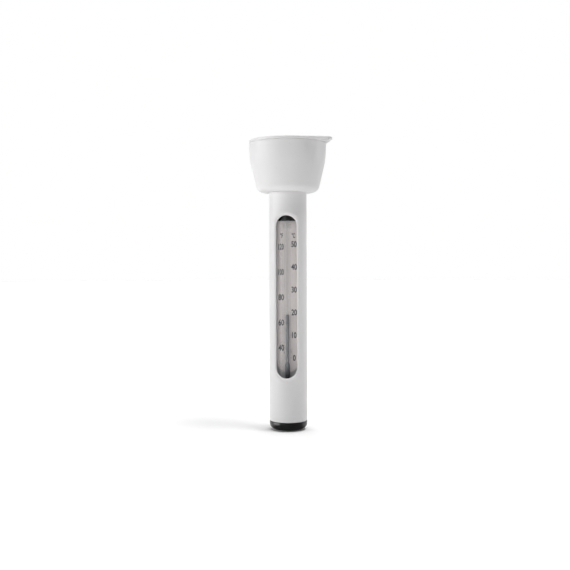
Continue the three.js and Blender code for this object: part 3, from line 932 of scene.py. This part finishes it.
def print_text(name, entries, height):
    """Numerals as thin raised ink on the plate's front. entries are (text, x, z, width share)."""
    verts, faces = [], []
    for text, x, z, width in entries:
        mesh = letters_mesh(text, height)
        xs = [v.co.x for v in mesh.vertices]
        ys = [v.co.y for v in mesh.vertices]
        centre_x, centre_y = (min(xs) + max(xs)) / 2, (min(ys) + max(ys)) / 2
        start = len(verts)
        for v in mesh.vertices:
            verts.append((
                x + (v.co.x - centre_x) * width,
                PLATE_FRONT - INK_T / 2 - v.co.z,
                z + v.co.y - centre_y,
            ))
        faces.extend(tuple(start + i for i in p.vertices) for p in mesh.polygons)
        bpy.data.meshes.remove(mesh)
    return dress(mesh_piece(name, verts, faces, "scale_ink", crease=30), INK)


def print_ticks(name, ticks):
    """Scale marks: thin bars of ink. ticks are (x from, x to, z, thickness)."""
    verts, faces = [], []
    y_front, y_back = PLATE_FRONT - INK_T, PLATE_FRONT - 0.002  # just clear of the plate
    sides = [(0, 1, 2, 3), (4, 5, 6, 7), (0, 1, 5, 4), (1, 2, 6, 5), (2, 3, 7, 6), (3, 0, 4, 7)]
    for x0, x1, z, thickness in ticks:
        low, high = z - thickness / 2, z + thickness / 2
        start = len(verts)
        for y in (y_front, y_back):
            verts += [(x0, y, low), (x1, y, low), (x1, y, high), (x0, y, high)]
        faces += [tuple(start + i for i in side) for side in sides]
    return dress(mesh_piece(name, verts, faces, "scale_ink", crease=30), INK)


def height_of(celsius):
    return ZERO_C_Z + celsius * MM_PER_C


def fahrenheit_height(degrees):
    return height_of((degrees - 32) / 1.8)


def tick_size(step, long_every, middle_every):
    """A scale mark's length and thickness."""
    if step % long_every == 0:
        return 0.95, 0.15
    if step % middle_every == 0:
        return 0.7, 0.12
    return 0.5, 0.09


def printing():
    """The two columns of numerals, their unit signs, and fine marks beside the glass tube."""
    wide, narrow = 0.68, 0.50  # shares of the letters' own width, for two and three digits
    celsius = [(str(c), COLUMN_X, height_of(c), wide) for c in range(0, 51, 10)]
    fahrenheit = [
        (str(f), -COLUMN_X, fahrenheit_height(f), narrow if f >= 100 else wide)
        for f in range(40, 121, 20)
    ]
    print_text("numerals_celsius", celsius, DIGIT_H)
    print_text("numerals_fahrenheit", fahrenheit, DIGIT_H)
    units = [("°F", -UNIT_X, UNIT_Z, narrow), ("°C", UNIT_X, UNIT_Z, narrow)]
    print_text("unit_marks", units, UNIT_H)
    inner = GLASS_R - 0.35  # the marks start beside the glass tube
    right = []
    for c in range(0, 51):
        reach, thickness = tick_size(c, 10, 5)
        right.append((inner, inner + reach, height_of(c), thickness))
    left = []
    for f in range(32, 123, 2):
        reach, thickness = tick_size(f, 20, 10)
        left.append((-inner - reach, -inner, fahrenheit_height(f), thickness))
    print_ticks("ticks_celsius", right)
    print_ticks("ticks_fahrenheit", left)


# ---- Stage ---------------------------------------------------------------------------------
FLOOR_R = 6.0
AIM = Vector((0, 0, 0.1))  # the object's middle
ROOM_LEVEL = 0.06  # brightness of the room and of the wall, as parts of white
WALL_LEVEL = 0.88


def lamp(name, azimuth, elevation, size, share, distance=0.8):
    """A soft box aimed at the object's middle. share is the light that a surface facing it
    gets, as a part of the light that shows as white."""
    direction = towards(azimuth, elevation)
    data = bpy.data.lights.new(name, "AREA")
    data.shape = "RECTANGLE"
    data.size, data.size_y = size
    data.energy = share * (math.pi * distance) ** 2
    box = bpy.data.objects.new(name, data)
    bpy.context.scene.collection.objects.link(box)
    box.location = AIM + direction * distance
    box.rotation_euler = (-direction).to_track_quat("-Z", "Y").to_euler()


def far_lamp(name, azimuth, elevation, spread, share):
    """A light from far away, with the penumbra of a disc that is spread degrees wide."""
    data = bpy.data.lights.new(name, "SUN")
    data.energy = share * math.pi
    data.angle = math.radians(spread)
    sun = bpy.data.objects.new(name, data)
    bpy.context.scene.collection.objects.link(sun)
    sun.rotation_euler = (-towards(azimuth, elevation)).to_track_quat("-Z", "Y").to_euler()


def background():
    """A white studio wall behind the object, which fades out a little below the horizon, and a
    dim room all round. The camera sees white, whichever way it looks."""
    world = bpy.data.worlds.new("studio")
    bpy.context.scene.world = world
    world.use_nodes = True
    tree = world.node_tree
    tree.nodes.clear()
    link = tree.links.new
    out = tree.nodes.new("ShaderNodeOutputWorld")
    seen = tree.nodes.new("ShaderNodeBackground")
    seen.inputs["Color"].default_value = (1, 1, 1, 1)
    lit = tree.nodes.new("ShaderNodeBackground")
    lit.inputs["Color"].default_value = (1, 1, 1, 1)
    place = tree.nodes.new("ShaderNodeTexCoord")
    behind = tree.nodes.new("ShaderNodeVectorMath")
    behind.operation = "DOT_PRODUCT"
    behind.inputs[1].default_value = -towards(0, 0)
    level = tree.nodes.new("ShaderNodeMapRange")
    level.inputs["From Min"].default_value = -0.1
    level.inputs["From Max"].default_value = 0.3
    level.inputs["To Min"].default_value = ROOM_LEVEL
    level.inputs["To Max"].default_value = WALL_LEVEL
    height = tree.nodes.new("ShaderNodeSeparateXYZ")
    above = tree.nodes.new("ShaderNodeMapRange")
    above.inputs["From Min"].default_value = -0.6
    above.inputs["From Max"].default_value = -0.3
    wall = tree.nodes.new("ShaderNodeMath")
    wall.operation = "MULTIPLY"
    strength = tree.nodes.new("ShaderNodeMath")
    strength.operation = "MAXIMUM"
    strength.inputs[1].default_value = ROOM_LEVEL
    path = tree.nodes.new("ShaderNodeLightPath")
    mix = tree.nodes.new("ShaderNodeMixShader")
    link(place.outputs["Generated"], behind.inputs[0])
    link(behind.outputs["Value"], level.inputs["Value"])
    link(place.outputs["Generated"], height.inputs[0])
    link(height.outputs["Z"], above.inputs["Value"])
    link(level.outputs["Result"], wall.inputs[0])
    link(above.outputs["Result"], wall.inputs[1])
    link(wall.outputs[0], strength.inputs[0])
    link(strength.outputs[0], lit.inputs["Strength"])
    link(path.outputs["Is Camera Ray"], mix.inputs[0])
    link(lit.outputs[0], mix.inputs[1])
    link(seen.outputs[0], mix.inputs[2])
    link(mix.outputs[0], out.inputs[0])


def stage():
    """A plain pale floor. The light is soft, from above, the left and the front, and one high
    lamp at the right, behind the object, casts the shadow on the floor."""
    scene = bpy.context.scene
    scene.view_settings.view_transform = "Standard"
    background()
    scene.cycles.transparent_max_bounces = 32  # capsule, clip and glass lie behind one another
    rim = [(FLOOR_R * math.cos(a), FLOOR_R * math.sin(a), 0) for a in even_angles(96)]
    mesh = bpy.data.meshes.new("floor")
    mesh.from_pydata(rim, [], [tuple(range(len(rim)))])
    floor = bpy.data.objects.new("floor", mesh)
    scene.collection.objects.link(floor)
    n = Nodes("floor")
    patches = n.spread(n.noise(6, 3), 0, 1)
    colour = n.blend_colours(patches, (0.955, 0.955, 0.955), (0.945, 0.945, 0.945))
    shader = n.principled(colour, n.spread(n.noise(9, 3), 0.85, 0.95))
    dress(floor, n.finish(shader.outputs[0]))
    floor.visible_glossy = False  # the cap's mirror images show the lamps and the room only
    far_lamp("overhead", 0, 90, 40, 0.335)
    far_lamp("high_right", 68, 70, 19, 0.355)
    lamp("key_left", -78, 0, (1.3, 1.0), 0.60, distance=1.6)
    lamp("key_front", -40, 8, (1.3, 1.0), 0.13, distance=1.6)
    lamp("front", 0, 28, (0.5, 0.3), 0.05)


# ---- Build ---------------------------------------------------------------------------------
float_cup()
float_lid()
body_tube()
end_cap()
inner_turnings()
clear_capsule()
scale_plate()
glass_tube()
bulb_liquid()
liquid_column()
printing()
stage()

# The plugs, clips and lock ring are shown as the CAD has them, so every CAD solid gets the
# material of its slot.
slot_of = {part["node"]: part["material_slot"] for part in frame["record"]["subparts"]}
for node, cad_object in frame["nodes"].items():
    for index in range(len(cad_object.material_slots)):
        cad_object.material_slots[index].link = "OBJECT"
        cad_object.material_slots[index].material = SLOT_MATERIALS[slot_of[node]]
